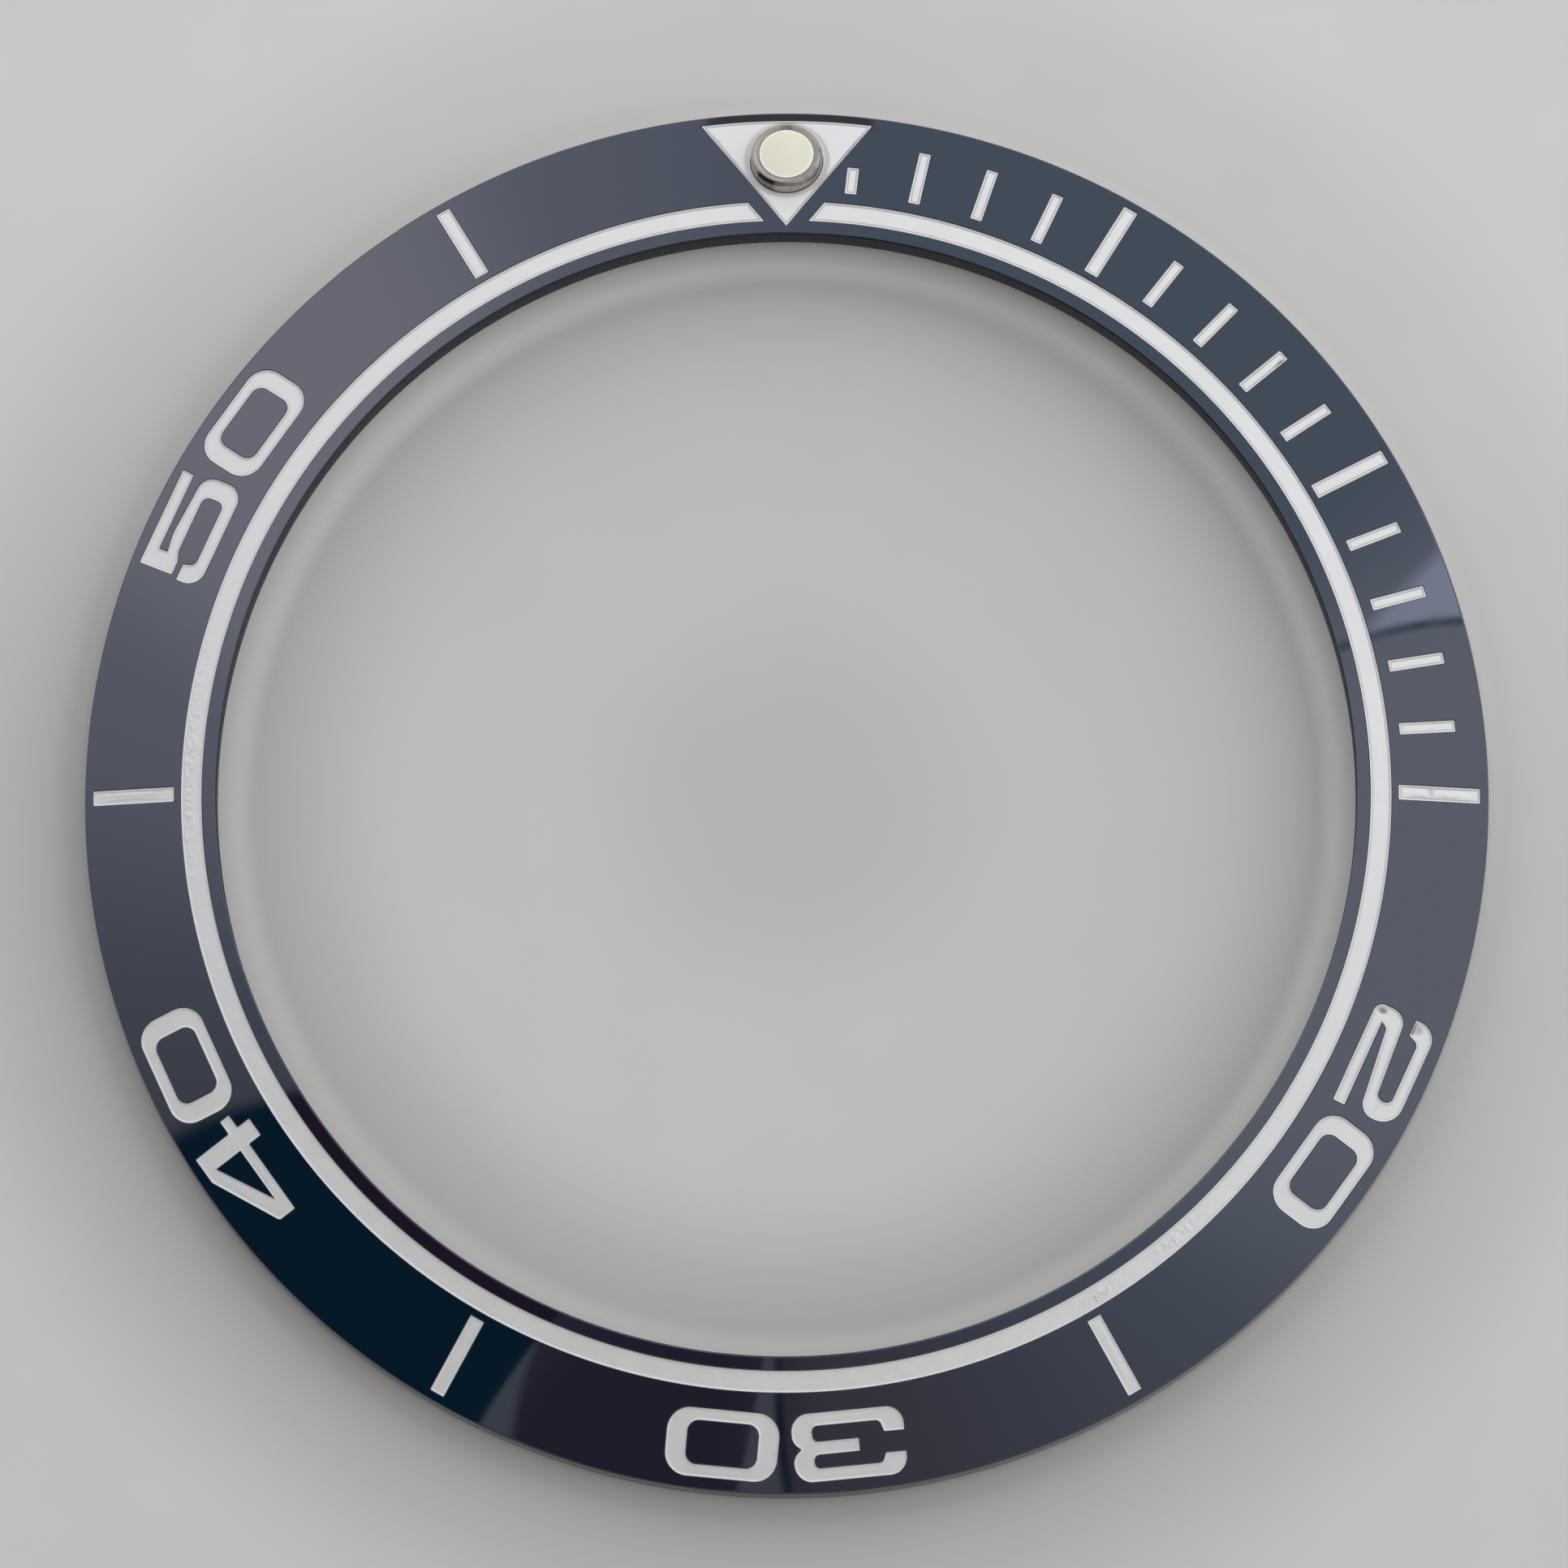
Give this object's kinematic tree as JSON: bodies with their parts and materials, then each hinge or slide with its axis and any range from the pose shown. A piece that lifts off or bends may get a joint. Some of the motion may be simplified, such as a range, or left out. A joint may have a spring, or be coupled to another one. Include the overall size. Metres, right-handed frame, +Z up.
{
  "type": "watch bezel insert",
  "caption": "Sloping ceramic ring for a diver's watch bezel, with a filled minute scale, numerals and a triangle that holds a luminous pip.",
  "frame": {"origin": "on the ring's axis, level with the flat land that it stands on", "axes": "+Z up out of the watch along the ring's axis, +Y towards the twelve o'clock marker, +X towards three o'clock"},
  "size_m": [0.038, 0.038, 0.0019],
  "materials": {
    "ceramic_ring": "polished",
    "white_fill": "satin",
    "pip_steel": "polished",
    "lume": "matte"
  },
  "bodies": {
    "root": {"insert_ring": "ceramic_ring", "minute_track": "white_fill", "marker_triangle": "white_fill", "pip_cup": "pip_steel", "pip_lume": "lume", "stroke_01": "white_fill", "stroke_02": "white_fill", "stroke_03": "white_fill", "stroke_04": "white_fill", "stroke_06": "white_fill", "stroke_07": "white_fill", "stroke_08": "white_fill", "stroke_09": "white_fill", "stroke_11": "white_fill", "stroke_12": "white_fill", "stroke_13": "white_fill", "stroke_14": "white_fill", "stroke_05": "white_fill", "stroke_10": "white_fill", "stroke_15": "white_fill", "stroke_25": "white_fill", "stroke_35": "white_fill", "stroke_45": "white_fill", "stroke_55": "white_fill", "numeral_20_figure_2": "white_fill", "numeral_30_figure_3": "white_fill", "numeral_40_figure_4": "white_fill", "numeral_50_figure_5": "white_fill", "numeral_20_figure_0": "white_fill", "numeral_30_figure_0": "white_fill", "numeral_40_figure_0": "white_fill", "numeral_50_figure_0": "white_fill"}
  },
  "joints": []
}
